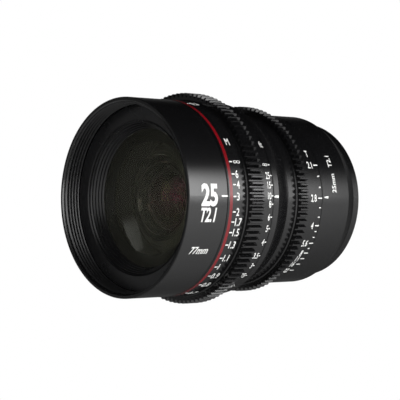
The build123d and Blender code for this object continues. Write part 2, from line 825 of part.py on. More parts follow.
def make_shim():
    """Thin ring that sets the distance from flange to film."""
    shim = ring(shim_seat, mount_seat, spigot_radius + seat_clearance, flange_radius)
    return cut_all(shim, mount_screws(seat_clearance))


def make_mount():
    """Bayonet mount: flange plate, spigot with its lugs and the locking recess."""
    ledge_bore = spigot_bore - baffle_ledge
    ledge_rear = flange_face - baffle_inset
    spigot_end = flange_face + spigot_length
    mount = turned((ledge_bore, mount_seat), (flange_radius, mount_seat),
                   (flange_radius, flange_face - edge_bevel), (flange_radius - edge_bevel, flange_face),
                   (spigot_radius, flange_face), (spigot_radius, spigot_end - edge_bevel),
                   (spigot_radius - edge_bevel, spigot_end), (spigot_bore, spigot_end),
                   (spigot_bore, ledge_rear), (ledge_bore, ledge_rear))
    lug_front = flange_face + lug_setback
    lug = fan(lug_front, lug_front + lug_thickness, spigot_radius - edge_bevel,
              spigot_radius + lug_height, 0, lug_angle)
    for copy in turned_copies(lug, lug_count):
        mount += copy
    recess_x, recess_y = polar(mount_screw_circle, lock_recess_angle)
    mount -= Pos(recess_x, recess_y, flange_face - lock_recess_depth) * extrude(
        Circle(lock_recess_radius), lock_recess_depth + cut_overrun)
    return cut_all(mount, mount_screws(seat_clearance))


def make_rear_baffle():
    """Plate with a square-cut window that keeps stray light off the film."""
    front = flange_face - baffle_inset
    plate = Pos(0, 0, front) * extrude(Circle(spigot_bore - seat_clearance), baffle_thickness)
    half_width, half_height = polar(spigot_bore - seat_clearance - baffle_margin, baffle_corner_angle)
    window = Pos(0, 0, front - cut_overrun) * extrude(
        Rectangle(2 * half_width, 2 * half_height), baffle_thickness + 2 * cut_overrun)
    return plate - window


def lay_down(shape):
    """Place of a finished piece: axis along Y, flange face at Y = 0."""
    return Rot(X=-90) * Pos(0, 0, -flange_face) * shape


def save(name, shape):
    """Write one piece, or a group of equal solids, to its own file."""
    group = shape if isinstance(shape, list) else [shape]
    solids = [solid for item in group for solid in lay_down(item).solids()]
    piece = solids[0] if len(solids) == 1 else Compound(children=solids)
    piece.label = name
    export_step(piece, os.path.join("parts", name + ".step"))
    print(f"{name}: {len(solids)} solid(s), {sum(solid.volume for solid in solids):.1f} mm3")


os.makedirs("parts", exist_ok=True)

save("front_barrel", make_front_barrel())
save("front_bezel", make_front_bezel())
save("main_tube", make_main_tube())
save("centre_housing", make_centre_housing())
save("rear_barrel", make_rear_barrel())
save("focus_stop_block", make_stop_block())
save("housing_screws", frame_screws(housing_rear - housing_screw_inset))
save("barrel_screws", frame_screws(barrel_front + barrel_screw_inset))

save("front_cell", make_front_cell())
save("first_element", first.solid())
save("second_element", second.solid())
save("second_retainer",
     bore_ring(second.front_seat - second_retainer_length, second.front_seat, second_rim))
save("third_element", third.solid())
save("third_retainer", bore_ring(third.rear_seat, third.rear_seat + retainer_length, third_rim))

save("focus_ring", make_focus_ring())
save("red_accent_ring", make_accent_ring())
save("focus_gear", make_focus_gear())
save("focus_cam_sleeve", make_cam_sleeve())
save("focus_ring_screws", ring_screws())

save("focus_carriage", make_carriage())
save("cam_pins", make_cam_pins())
save("fourth_element", fourth.solid())
save("fifth_element", fifth.solid())
save("sixth_element", sixth.solid())
save("focus_spacer", bore_ring(fifth.rear_seat, sixth.front_seat, focus_glass_rim))
save("focus_retainer", bore_ring(sixth.rear_seat, sixth.rear_seat + retainer_length, focus_glass_rim))

save("iris_ring", make_iris_ring())
save("iris_gear", make_iris_gear())
save("iris_drive_pin", make_drive_pin())
save("iris_rotor", make_rotor())
save("iris_front_plate",
     ring(iris_plate_front, iris_plate_front + iris_plate, iris_stop_radius, inside_tube))
save("iris_base_plate", make_base_plate())
save("iris_retainer",
     ring(base_rear, base_rear + iris_retainer_length, inside_tube - rotor_hub_wall, inside_tube))
for blade_number in range(blade_count):
    save(f"iris_blade_{blade_number + 1}", make_blade(blade_number))

save("rear_cell", make_rear_cell())
save("seventh_element", seventh.solid())
save("eighth_element", eighth.solid())
save("doublet_retainer", bore_ring(eighth.rear_seat, eighth.rear_seat + retainer_length, doublet_rim))
save("ninth_element", ninth.solid())
save("ninth_retainer", bore_ring(ninth.rear_seat, ninth.rear_seat + retainer_length, ninth_rim))
save("tenth_element", tenth.solid())
save("rear_retainer", bore_ring(tenth.rear_seat, tenth.rear_seat + retainer_length, tenth_rim))

save("mount_shim", make_shim())
save("bayonet_mount", make_mount())
save("mount_screws", mount_screws())
save("rear_baffle", make_rear_baffle())

print(f"Length from rim to flange {flange_face:.2f}, blade share {blade_share:.6f}")
print(f"Focus travel {focus_to_front_travel:.3f} forwards and {focus_to_rear_travel:.3f} backwards")
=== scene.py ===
# %% [markdown]
# # A cinema prime lens, dressed for its portrait
# The lens is already built in CAD: turned barrels, two gear rings, glass, iris blades and a
# steel mount. This script loads those pieces as a fixed frame, in metres, with the lens axis
# along Y and the front of the lens towards -Y. Everything below adds finish: anodised and
# coated surfaces, the filter thread, the engraved scales, and a plain studio.

import math

import bmesh
import bpy
from mathutils import Matrix, Vector


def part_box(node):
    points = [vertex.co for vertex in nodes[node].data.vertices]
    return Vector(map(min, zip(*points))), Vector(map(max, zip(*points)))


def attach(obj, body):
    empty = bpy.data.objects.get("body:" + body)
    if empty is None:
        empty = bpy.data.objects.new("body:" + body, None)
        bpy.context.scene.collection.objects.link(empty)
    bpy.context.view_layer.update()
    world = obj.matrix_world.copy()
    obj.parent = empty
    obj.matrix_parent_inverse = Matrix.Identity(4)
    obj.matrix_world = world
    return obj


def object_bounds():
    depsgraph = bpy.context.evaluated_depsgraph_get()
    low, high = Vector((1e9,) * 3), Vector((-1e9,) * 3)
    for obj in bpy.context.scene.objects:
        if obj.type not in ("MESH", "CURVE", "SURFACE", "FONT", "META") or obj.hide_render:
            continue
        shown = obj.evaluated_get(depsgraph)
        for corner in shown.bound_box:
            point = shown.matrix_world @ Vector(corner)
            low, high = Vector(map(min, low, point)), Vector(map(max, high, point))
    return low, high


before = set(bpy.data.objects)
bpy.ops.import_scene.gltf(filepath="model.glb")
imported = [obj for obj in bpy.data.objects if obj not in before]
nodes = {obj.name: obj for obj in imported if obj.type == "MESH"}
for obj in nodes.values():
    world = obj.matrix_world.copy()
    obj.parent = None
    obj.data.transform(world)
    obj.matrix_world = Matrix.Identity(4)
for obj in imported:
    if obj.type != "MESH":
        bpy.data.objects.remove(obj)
cad_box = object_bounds()
mm = 0.001
print("CAD pieces:", len(nodes), "box", [round(v, 4) for corner in cad_box for v in corner])

# %% [markdown]
# ## Where the visible bands lie
# Each mark sits on a ring that the CAD already has. The ring's radius and ends could be typed
# in again here, but a second copy of a number goes wrong sooner or later. They are read from
# the ring's box instead, so a mark always lies on its carrier, even if the lens changes size.

# %% Radii and stations of the rings


def reach(name):
    """Outer radius, front end and rear end of a turned node, in metres."""
    low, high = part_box(name)
    return high.x, low.y, high.y


front_radius, front_rim, front_end = reach("front_barrel")
focus_radius, _, focus_rear = reach("focus_ring")
housing_radius, housing_front, _ = reach("centre_housing")
iris_radius, _, iris_rear = reach("iris_ring")
rear_radius, rear_front, _ = reach("rear_barrel")
_, red_front, red_rear = reach("red_accent_ring")
_, focus_gear_front, _ = reach("focus_gear")
_, iris_gear_front, _ = reach("iris_gear")
print("radii:", [round(r, 4) for r in (front_radius, focus_radius, iris_radius, rear_radius)])
print("rear ends:", [round(y, 4) for y in (front_end, focus_rear, iris_rear)])

# %% [markdown]
# ## Two small helpers for finishes
# Colours are given as hex codes, which are sRGB, while shaders count light linearly, so
# one function turns the first into the second. A node could be made, set and linked in
# three lines of its own each time. A second function does the three at once, which keeps
# each finish down to a few readable lines.

# %% Colour and node helpers


def linear(code):
    """A hex colour as linear red, green, blue and alpha, by the sRGB curve."""
    shares = [int(code[i:i + 2], 16) / 255 for i in (1, 3, 5)]
    return [c / 12.92 if c <= 0.04045 else ((c + 0.055) / 1.055) ** 2.4 for c in shares] + [1]


def add_node(tree, kind, links=None, **settings):
    """One node: links gives each input a value or another node's socket, settings the rest."""
    made = tree.nodes.new(kind)
    for name, value in settings.items():
        setattr(made, name, value)
    for key, value in (links or {}).items():
        if isinstance(value, bpy.types.NodeSocket):
            tree.links.new(value, made.inputs[key])
        else:
            made.inputs[key].default_value = value
    return made


def new_finish(name):
    """An empty node material with its output, ready for a shader."""
    finish = bpy.data.materials.new(name)
    finish.use_nodes = True
    finish.node_tree.nodes.clear()
    return finish, finish.node_tree, add_node(finish.node_tree, "ShaderNodeOutputMaterial")


print("the ring's red as light:", [round(c, 3) for c in linear("#820b17")])

# %% [markdown]
# ## Anodised aluminium
# The barrels are turned from aluminium, bead blasted and dyed black in an anodising bath. The
# oxide is a clear, hard skin that reflects like glass of index 1.6, over a black dye. Blasting
# leaves a fine grain, and the lathe leaves faint rings. A picture of such a surface could be
# wrapped round each piece, but it would need a UV map on all of them, and it would show its
# pixels close by. Noise on each piece's own coordinates fits them all. A ring pattern must
# follow the turning: its coordinate is the distance along the axis plus the distance from it,
# which gives rings on a tube and on a flat face alike.
#
# Six finishes come out of that one bath. They differ in the dye and in how the tool or the
# blasting left the metal, so one function makes them all.

# %% Turned and blasted surfaces
tone_size = 14 * mm        # slow clouds in the dye, about as wide as a fingertip
blast_grain = 0.3 * mm     # the real grain is 0.05 mm, drawn coarser so that it shows
lathe_pitch = 0.22 * mm    # the real feed is 0.1 mm, drawn coarser so that it shows
bath_spread = 0.03         # how much rougher or smoother the skin is from place to place


def turned_bump(tree, grain_size, ring_pitch, grain_depth, ring_depth):
    """Blasting grain and lathe rings as one bump; also gives the slow tone of the surface."""
    place = add_node(tree, "ShaderNodeTexCoord").outputs["Object"]
    parts = add_node(tree, "ShaderNodeSeparateXYZ", {0: place})
    flat = add_node(tree, "ShaderNodeCombineXYZ", {0: parts.outputs[0], 2: parts.outputs[2]})
    away = add_node(tree, "ShaderNodeVectorMath", {0: flat.outputs[0]}, operation="LENGTH")
    along = add_node(tree, "ShaderNodeMath", {0: parts.outputs[1], 1: away.outputs["Value"]},
                     operation="ADD")
    rings = add_node(tree, "ShaderNodeTexNoise", {"W": along.outputs[0], "Scale": 1 / ring_pitch,
                                                  "Detail": 1.0}, noise_dimensions="1D")
    grain = add_node(tree, "ShaderNodeTexNoise", {"Vector": place, "Scale": 1 / grain_size,
                                                  "Detail": 2.0})
    tone = add_node(tree, "ShaderNodeTexNoise", {"Vector": place, "Scale": 1 / tone_size,
                                                 "Detail": 3.0})
    coarse = add_node(tree, "ShaderNodeBump", {"Height": rings.outputs[0], "Strength": 1.0,
                                               "Distance": ring_depth})
    fine = add_node(tree, "ShaderNodeBump", {"Height": grain.outputs[0], "Strength": 1.0,
                                             "Distance": grain_depth,
                                             "Normal": coarse.outputs[0]})
    return fine.outputs[0], tone.outputs[0]


def anodised(name, dark, light, roughness, index=1.6, grain_depth=0.004 * mm,
             ring_depth=0.003 * mm):
    """Dyed anodised aluminium: the dye between two tones, the skin's gloss a little uneven."""
    finish, tree, out = new_finish(name)
    bump, tone = turned_bump(tree, blast_grain, lathe_pitch, grain_depth, ring_depth)
    dye = add_node(tree, "ShaderNodeMix", {0: tone, 6: linear(dark), 7: linear(light)},
                   data_type="RGBA")
    gloss = add_node(tree, "ShaderNodeMapRange", {"Value": tone,
                                                  "To Min": roughness - bath_spread,
                                                  "To Max": roughness + bath_spread})
    skin = add_node(tree, "ShaderNodeBsdfPrincipled",
                    {"Base Color": dye.outputs[2], "Roughness": gloss.outputs[0],
                     "Normal": bump, "IOR": index})
    tree.links.new(skin.outputs[0], out.inputs[0])
    return finish


# Finely blasted barrels: near black, with a satin highlight that fades softly.
black_anodised = anodised("black_anodised_aluminium", "#0b0b0c", "#101011", 0.19)
# The accent ring, blasted alike: a deep red that stays red in the highlight.
red_anodised = anodised("red_anodised_aluminium", "#6b0710", "#820b17", 0.23, 1.54)
# The inside of the mouth, coarsely blasted: dull charcoal with no highlight to speak of.
matt_black = anodised("matt_black_anodised_interior", "#1b1b1c", "#202021", 0.28, 1.55)
# The ridges round the glass, duller still: they swallow stray light.
baffle_black = anodised("dull_black_anodised_baffles", "#141415", "#19191a", 0.28, 1.45)
# The inner edge of the rim, cut last with a polished tool: it draws one bright line. The high
# index, here and on the thread, stands for metal that shines through a thin skin.
edge_black = anodised("polished_black_anodised_edge", "#0b0b0c", "#101011", 0.14, 2.6)
# The thread, cut and not blasted: its flanks catch more light than the wall beside them.
thread_black = anodised("cut_black_anodised_thread", "#1b1b1c", "#202021", 0.28, 1.85)
print("anodised:", [m.name for m in (black_anodised, red_anodised, matt_black, baffle_black,
                                     edge_black, thread_black)])

# %% [markdown]
# ## Bare metals
# The mount is steel, the screws are blackened steel, and inside the lens bronze runs on greased
# aluminium. One grey metal could serve for all, but where the mount and the blades show, the
# eye tells them by their warmth and by how clean the lathe rings are. So each has its own two
# tones and its own gloss. All keep Blender's own metal index.

# %% Metal finishes
metal_grain = 0.4 * mm     # polishing grain, really 0.02 mm, drawn coarser so that it shows
metal_rings = 0.25 * mm    # lathe rings, really 0.1 mm, drawn coarser so that they show
polish_low, polish_high = 0.04, 0.06


def metal(name, dark, light, roughness, grain_depth=0.002 * mm, ring_depth=0.005 * mm):
    """A bare turned metal: its colour between two tones, with lathe rings."""
    finish, tree, out = new_finish(name)
    bump, tone = turned_bump(tree, metal_grain, metal_rings, grain_depth, ring_depth)
    colour = add_node(tree, "ShaderNodeMix", {0: tone, 6: linear(dark), 7: linear(light)},
                      data_type="RGBA")
    gloss = add_node(tree, "ShaderNodeMapRange", {"Value": tone,
                                                  "To Min": roughness - polish_low,
                                                  "To Max": roughness + polish_high})
    skin = add_node(tree, "ShaderNodeBsdfPrincipled",
                    {"Base Color": colour.outputs[2], "Roughness": gloss.outputs[0],
                     "Normal": bump, "Metallic": 1.0})
    tree.links.new(skin.outputs[0], out.inputs[0])
    return finish


# Fine turned steel: warm grey, with sharp bright rings where it faces a light.
stainless_steel = metal("fine_turned_stainless_steel", "#a9a7a4", "#bfbdb9", 0.24)
# Screws blackened in hot salts: dark grey, with a dull metallic sheen.
blackened_steel = metal("blackened_steel_screws", "#2a2a2b", "#3a3a3c", 0.38)
# Turned aluminium with a film of grease: cool, pale and a little wet.
bare_aluminium = metal("turned_greased_aluminium", "#b4b5b8", "#cdced0", 0.28)
# Turned bronze: warm yellow brown, as bright as the aluminium.
bronze = metal("turned_bronze", "#a87c46", "#c59a5e", 0.3)
# Blade steel under a dry black film: almost flat, with a faint metallic edge.
blade_black = metal("dry_film_coated_blade_steel", "#1b1b1c", "#262628", 0.5)
print("metals:", [m.name for m in (stainless_steel, blackened_steel, bare_aluminium, bronze,
                                   blade_black)])

# %% [markdown]
# ## Coated glass
# Optical glass is clear, and each surface has an anti-reflection coat. The coat leaves only a
# faint reflection, and what is left has a colour: olive, plum or teal. The coat could be a
# second shader mixed in by angle, but a tint on the glass's own reflection gives the same
# colour and leaves one plain glass that other programs understand. The ground rim of a lens is
# painted black, so faces that look sideways from the axis are dark and let no light through.
# A trace of haze on the front glass stands for the dust and the stray light in its depth.

# %% Glass finish
film_size = 20 * mm        # wiping marks on the coat, about as wide as a fingertip
film_roughness = 0.01
rim_lean = 0.3             # faces whose normal leans less than this to the axis are the rim
coat_strength = 0.22       # 0.5 would be bare glass: the coat leaves less than half of that


def coated_glass(name, body, reflection, index, haze=0.0):
    """Clear glass with a coloured remainder of reflection from its coat."""
    finish, tree, out = new_finish(name)
    place = add_node(tree, "ShaderNodeTexCoord").outputs["Object"]
    film = add_node(tree, "ShaderNodeTexNoise", {"Vector": place, "Scale": 1 / film_size})
    gloss = add_node(tree, "ShaderNodeMapRange", {"Value": film.outputs[0], "To Min": 0.0,
                                                  "To Max": film_roughness})
    facing = add_node(tree, "ShaderNodeNewGeometry").outputs["True Normal"]
    lean = add_node(tree, "ShaderNodeSeparateXYZ", {0: facing}).outputs[1]
    steep = add_node(tree, "ShaderNodeMath", {0: lean}, operation="ABSOLUTE")
    clear = add_node(tree, "ShaderNodeMath", {0: steep.outputs[0], 1: rim_lean},
                     operation="GREATER_THAN")
    veil = add_node(tree, "ShaderNodeMath", {0: clear.outputs[0], 1: 1 - haze},
                    operation="MULTIPLY")
    colour = add_node(tree, "ShaderNodeMix", {0: clear.outputs[0], 6: linear("#050505"),
                                              7: linear(body)}, data_type="RGBA")
    skin = add_node(tree, "ShaderNodeBsdfPrincipled",
                    {"Base Color": colour.outputs[2], "Roughness": gloss.outputs[0],
                     "IOR": index, "Transmission Weight": veil.outputs[0],
                     "Specular IOR Level": coat_strength,
                     "Specular Tint": linear(reflection)})
    tree.links.new(skin.outputs[0], out.inputs[0])
    return finish


# The front glass: dark olive depth under a faint olive mirror.
front_glass = coated_glass("optical_glass_front_coat", "#f0f0da", "#525838", 1.62, haze=0.026)
# An inner glass: a weaker olive spot wherever it mirrors a light.
olive_glass = coated_glass("optical_glass_olive_coat", "#f4f6ea", "#464c2c", 1.62)
# Dense inner glass: the plum patch in the middle of the lens.
plum_glass = coated_glass("optical_glass_plum_coat", "#f8f4fa", "#641e50", 1.70)
# The rear glasses: blue green, seen through the mount.
teal_glass = coated_glass("optical_glass_teal_coat", "#eef4f2", "#2c6a70", 1.60)
coats = {"first_element": front_glass, "second_element": plum_glass,
         "third_element": plum_glass, "fourth_element": plum_glass,
         "fifth_element": teal_glass, "sixth_element": olive_glass}
print("glass:", [g.name for g in (front_glass, olive_glass, plum_glass, teal_glass)])

# %% [markdown]
# ## Each CAD piece gets its finish
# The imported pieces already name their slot, such as bronze. A finish could be put on piece by
# piece, but the slot says which of them are made alike, so one dictionary gives the finish for
# each slot. Only the lens elements need a second one, because their coats differ.

# %% Finishes on the CAD pieces
finishes = {
    "black_anodised": black_anodised, "matt_black": matt_black, "red_anodised": red_anodised,
    "bare_aluminium": bare_aluminium, "lens_glass": teal_glass, "bronze": bronze,
    "stainless_steel": stainless_steel, "blackened_steel": blackened_steel,
    "blade_black": blade_black,
}
slot_of = {name: node.data.materials[0].name.split(".")[0] for name, node in nodes.items()}
for name, node in nodes.items():
    for slot in node.material_slots:
        slot.material = coats.get(name, finishes[slot_of[name]])
print("finished:", len(slot_of), "pieces in", len(set(slot_of.values())), "finishes")

# %% [markdown]
# ## White marks
# On the real lens each mark is engraved and filled with white enamel. The grooves could be cut
# out of the rings and filled, but enamel a tenth of a millimetre deep looks like a flat print,
# and cutting hundreds of edges into a ring spoils its even highlight. So each mark here is a
# thin plate that stands a little proud of its ring and reaches a little under its surface.

# %% White enamel
enamel_proud = 0.03 * mm
enamel_sink = 0.08 * mm
enamel_grain = 0.5 * mm    # the real grain is 0.02 mm, drawn coarser so that it shows

# Stoved enamel: a warm, even white with a soft sheen, which stays white in the lens's shade.
white_enamel, tree, out = new_finish("white_enamel_fill")
place = add_node(tree, "ShaderNodeTexCoord").outputs["Object"]
speck = add_node(tree, "ShaderNodeTexNoise", {"Vector": place, "Scale": 1 / enamel_grain})
colour = add_node(tree, "ShaderNodeMix", {0: speck.outputs[0], 6: linear("#e9e9e6"),
                                          7: linear("#f7f7f5")}, data_type="RGBA")
skin = add_node(tree, "ShaderNodeBsdfPrincipled", {"Base Color": colour.outputs[2],
                                                   "Roughness": 0.45})
tree.links.new(skin.outputs[0], out.inputs[0])
print("enamel stands", enamel_proud / mm, "mm proud")

# %% [markdown]
# ## Numerals that wrap round a ring
# The scales of a lens are read round its rings, so each numeral has to wrap. A text object
# gives flat numerals. A curve modifier could bend them, but it would have to be set up for
# every ring and angle. Here the text is made a mesh first and cut into narrow strips so that it
# can bend. Then each point is placed on the ring: one way of the text runs along the axis, the
# other round it. Numerals that are turned read up the ring instead.

# %% From text to a flat mesh
capital_height = 0.69      # capitals of Blender's own font, as a share of its size
strip_width = 0.8 * mm
weld_distance = 1e-5       # in units of the font's size


def flat_numeral(text, height, squeeze, slant, held, weight):
    """A bmesh of the text, its capitals as high as asked; held is the share ahead of its place."""
    words = bpy.data.curves.new("numeral", "FONT")
    words.body, words.shear, words.offset = text, slant, weight
    words.extrude = 0.5    # any thickness will do: it tells the top face from the bottom one
    words.resolution_u = 3
    holder = bpy.data.objects.new("numeral", words)
    bpy.context.scene.collection.objects.link(holder)
    scene_now = bpy.context.evaluated_depsgraph_get()
    flat = bpy.data.meshes.new_from_object(holder.evaluated_get(scene_now))
    bpy.data.objects.remove(holder)
    shape = bmesh.new()
    shape.from_mesh(flat)
    bpy.data.meshes.remove(flat)
    bmesh.ops.remove_doubles(shape, verts=shape.verts, dist=weld_distance)
    low = [min(v.co[i] for v in shape.verts) for i in range(2)]
    high = [max(v.co[i] for v in shape.verts) for i in range(2)]
    tall = height / capital_height
    for v in shape.verts:
        v.co.x = (v.co.x - low[0] - (high[0] - low[0]) * held) * tall * squeeze
        v.co.y = (v.co.y - capital_height / 2) * tall
        v.co.z = enamel_proud if v.co.z > 0 else -enamel_sink
    return shape


def cut_in_strips(shape, axis, pitch=strip_width):
    """Cuts a flat mesh across one of its ways, so that it can bend that way."""
    most = max(abs(v.co[axis]) for v in shape.verts)
    normal = Vector((0, 0, 0))
    normal[axis] = 1
    for step in range(-int(most / pitch), int(most / pitch) + 1):
        bmesh.ops.bisect_plane(shape, geom=shape.verts[:] + shape.edges[:] + shape.faces[:],
                               plane_co=normal * step * pitch, plane_no=normal)


print("numerals bend every", round(strip_width / mm, 2), "mm")

# %% From a flat mesh to a piece on its ring


def on_ring(shape, radius, station, angle, turned):
    """Places a flat mesh on a ring, at an angle above the index line."""
    for v in shape.verts:
        along, around = (-v.co.y, v.co.x) if turned else (v.co.x, v.co.y)
        here = angle + around / radius
        far = radius + v.co.z
        v.co = (far * math.cos(here), station + along, far * math.sin(here))


def numerals(name, body, radius, station, labels, height, squeeze=0.72, slant=0.0,
             turned=False, held=0.5, weight=0.014):
    """One piece holding every numeral of a scale; labels are pairs of text and angle."""
    whole = bmesh.new()
    for text, angle in labels:
        shape = flat_numeral(text, height, squeeze, slant, held, weight)
        cut_in_strips(shape, 0 if turned else 1)
        on_ring(shape, radius, station, math.radians(angle), turned)
        part = bpy.data.meshes.new("part")
        shape.to_mesh(part)
        whole.from_mesh(part)
        bpy.data.meshes.remove(part)
        shape.free()
    bmesh.ops.recalc_face_normals(whole, faces=whole.faces)
    mesh = bpy.data.meshes.new(name)
    whole.to_mesh(mesh)
    whole.free()
    mesh.materials.append(white_enamel)
    made = bpy.data.objects.new(name, mesh)
    bpy.context.scene.collection.objects.link(made)
    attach(made, body)
    print(name, len(labels), "numerals,", len(mesh.polygons), "faces")


# %% [markdown]
# ## Numbers on the barrels
# The front barrel carries the focal length, the widest stop and the filter size, the first two
# in heavy numerals so that they can be read across a set. The rear barrel repeats the first
# two. Heavier letters could come from a second font. Blender can also swell the outline of its
# own, which needs no font file.

# %% Barrel numbers
numerals("front_number", "barrel", front_radius, front_rim + 10.5 * mm, [("25", 0.6)],
         height=7.9 * mm, squeeze=0.76, weight=0.035)
numerals("front_stop_number", "barrel", front_radius, front_rim + 14.5 * mm,
         [("T2.1", -10.4)], height=5.2 * mm, squeeze=0.64, slant=0.2, held=1.0, weight=0.026)
numerals("front_filter_number", "barrel", front_radius, front_rim + 5.3 * mm,
         [("77mm", -31.3)], height=3.1 * mm, squeeze=0.84, slant=0.25, held=0.0)
numerals("rear_number", "barrel", rear_radius, rear_front + 7.3 * mm, [("25mm   T2.1", 16.0)],
         height=2.3 * mm, squeeze=0.98, turned=True)

# %% [markdown]
# ## The focus scale
# Two rows of numbers say how far away the lens is focused, in metres and in feet. They are
# not even: a lens moves out by nearly the inverse of the distance, so far marks crowd near
# infinity and near marks spread round the ring. A formula could place them, but each maker
# rounds and shifts them so that the numerals stay clear of each other. So each mark is listed,
# as a text and an angle in degrees above the index line, with the lens at rest. The infinity
# sign is an 8 on its side.

# %% Focus scale
metre_infinity, foot_infinity = 19.6, 18.4
metre_marks = [("6", 12.4), ("4", 6.4), ("3", -0.2), ("2", -8.8), ("1.7", -14.5),
               ("1.5", -20.6), ("1.3", -28.2), ("1.1", -37.0), ("1", -43.5), ("0.9", -51.2),
               ("0.8", -60.4), ("0.7", -73), ("0.6", -91), ("0.5", -120), ("0.45", -142),
               ("0.4", -173), ("0.35", -218), ("0.3", -290)]
foot_marks = [("25", 12.0), ("15", 6.5), ("10", 0.4), ("8", -4.4), ("6", -11.8),
              ("5", -18.5), ("4", -26.9), ("3.5", -36), ("3", -43.5), ("2.75", -52),
              ("2.5", -64), ("2", -89), ("1.75", -110), ("1.5", -139), ("1.25", -188),
              ("1", -280)]
metre_station = red_rear + 2.3 * mm
foot_station = focus_rear - 1.25 * mm
numerals("focus_numerals_metres", "focus_drive", focus_radius, metre_station, metre_marks,
         height=3.0 * mm, squeeze=0.76, held=0.0)
numerals("focus_numerals_feet", "focus_drive", focus_radius, foot_station, foot_marks,
         height=2.7 * mm, squeeze=0.62, held=1.0)
numerals("focus_unit_metres", "focus_drive", focus_radius, metre_station + 0.6 * mm,
         [("M", 32.4)], height=3.2 * mm, squeeze=0.66, weight=0.0)
numerals("focus_unit_feet", "focus_drive", focus_radius, foot_station, [("ft", 31.5)],
         height=2.8 * mm, squeeze=0.72, weight=0.0)
numerals("focus_infinity_metres", "focus_drive", focus_radius, metre_station + 2.0 * mm,
         [("8", metre_infinity)], height=3.8 * mm, squeeze=0.56, turned=True, weight=-0.014)
numerals("focus_infinity_feet", "focus_drive", focus_radius, foot_station - 1.5 * mm,
         [("8", foot_infinity)], height=2.7 * mm, squeeze=0.66, turned=True, weight=-0.014)

# %% [markdown]
# ## The iris scale
# The iris ring's numbers say how much light the lens lets through, and each stop halves it.
# Steps are wide at the open end and narrow further on, since halving a small hole takes less of
# a turn. A formula would need the shape of the blades, so the angles are listed here too.

# %% Iris scale
stops = [("2.1", 21.6), ("2.8", -0.6), ("4", -18.8), ("5.6", -31.6), ("8", -39.6),
         ("11", -44.6), ("16", -50.0), ("22", -57.0)]
between = [13.9, 6.5, -6.8, -13.1, -23.0, -27.2, -35.7]
iris_station = iris_rear - 3.5 * mm
numerals("iris_numerals", "iris_drive", iris_radius, iris_station, stops + [("T", 30.0)],
         height=2.9 * mm, squeeze=0.64, held=1.0)

# %% [markdown]
# ## Ticks
# A short line of enamel marks the exact place of each number. It is the same small bar again
# and again. A loop could copy it, but Geometry Nodes keep its sizes as inputs that can be tried
# out in the modifier panel. A mesh with one point for each tick goes in. The tree makes a bar
# with rounded corners from a filled rectangle, turns each copy to face outwards from the axis,
# and makes the copies real.

# %% The tick tree
corner_share = 0.3         # corner radius of a tick, as a share of its width
merge_distance = 1e-7      # a tenth of a micrometre: closes seams and moves nothing


def tick_tree():
    """Bars on points round the Y axis, with inputs for their length, width and height."""
    tree = bpy.data.node_groups.new("enamel_ticks", "GeometryNodeTree")
    face = tree.interface
    face.new_socket("Geometry", in_out="INPUT", socket_type="NodeSocketGeometry")
    for name in ("Length", "Width", "Height"):
        face.new_socket(name, in_out="INPUT", socket_type="NodeSocketFloat")
    face.new_socket("Enamel", in_out="INPUT", socket_type="NodeSocketMaterial")
    face.new_socket("Geometry", in_out="OUTPUT", socket_type="NodeSocketGeometry")
    given = add_node(tree, "NodeGroupInput").outputs
    corner = add_node(tree, "ShaderNodeMath", {0: given["Width"], 1: corner_share},
                      operation="MULTIPLY")
    plan = add_node(tree, "GeometryNodeCurvePrimitiveQuadrilateral",
                    {"Width": given["Width"], "Height": given["Length"]})
    round_plan = add_node(tree, "GeometryNodeFilletCurve",
                          {"Curve": plan.outputs[0], "Radius": corner.outputs[0], "Count": 2,
                           "Limit Radius": True}, mode="POLY")
    plate = add_node(tree, "GeometryNodeFillCurve", {0: round_plan.outputs[0]}, mode="NGONS")
    bar = add_node(tree, "GeometryNodeExtrudeMesh",
                   {"Mesh": plate.outputs[0], "Offset Scale": given["Height"],
                    "Individual": False})
    base = add_node(tree, "GeometryNodeFlipFaces", {0: plate.outputs[0]})
    solid = add_node(tree, "GeometryNodeJoinGeometry")
    tree.links.new(bar.outputs[0], solid.inputs[0])
    tree.links.new(base.outputs[0], solid.inputs[0])
    closed = add_node(tree, "GeometryNodeMergeByDistance",
                      {0: solid.outputs[0], "Distance": merge_distance})
    spot = add_node(tree, "GeometryNodeInputPosition").outputs[0]
    spread = add_node(tree, "ShaderNodeSeparateXYZ", {0: spot})
    outwards = add_node(tree, "ShaderNodeCombineXYZ", {0: spread.outputs[0],
                                                       2: spread.outputs[2]})
    faced = add_node(tree, "FunctionNodeAlignRotationToVector",
                     {"Vector": outwards.outputs[0]}, axis="Z", pivot_axis="AUTO")
    along = add_node(tree, "FunctionNodeAlignRotationToVector",
                     {"Rotation": faced.outputs[0], "Vector": Vector((0, 1, 0))}, axis="Y",
                     pivot_axis="Z")
    copies = add_node(tree, "GeometryNodeInstanceOnPoints",
                      {"Points": given["Geometry"], "Instance": closed.outputs[0],
                       "Rotation": along.outputs[0]})
    real = add_node(tree, "GeometryNodeRealizeInstances", {0: copies.outputs[0]})
    painted = add_node(tree, "GeometryNodeSetMaterial", {"Geometry": real.outputs[0],
                                                         "Material": given["Enamel"]})
    add_node(tree, "NodeGroupOutput", {0: painted.outputs[0]})
    return tree


ticks = tick_tree()
print("tick tree:", len(ticks.nodes), "nodes")

# %% [markdown]
# ## Growing a piece from a tree
# A tree does nothing until a modifier runs it. The modifier could stay live, but a finished
# piece should be a plain mesh that any program can read. So each piece is grown once, its
# result is kept, and the modifier goes. Inputs are set by their identifiers, which stay the
# same when a label is changed.

# %% Growing a piece


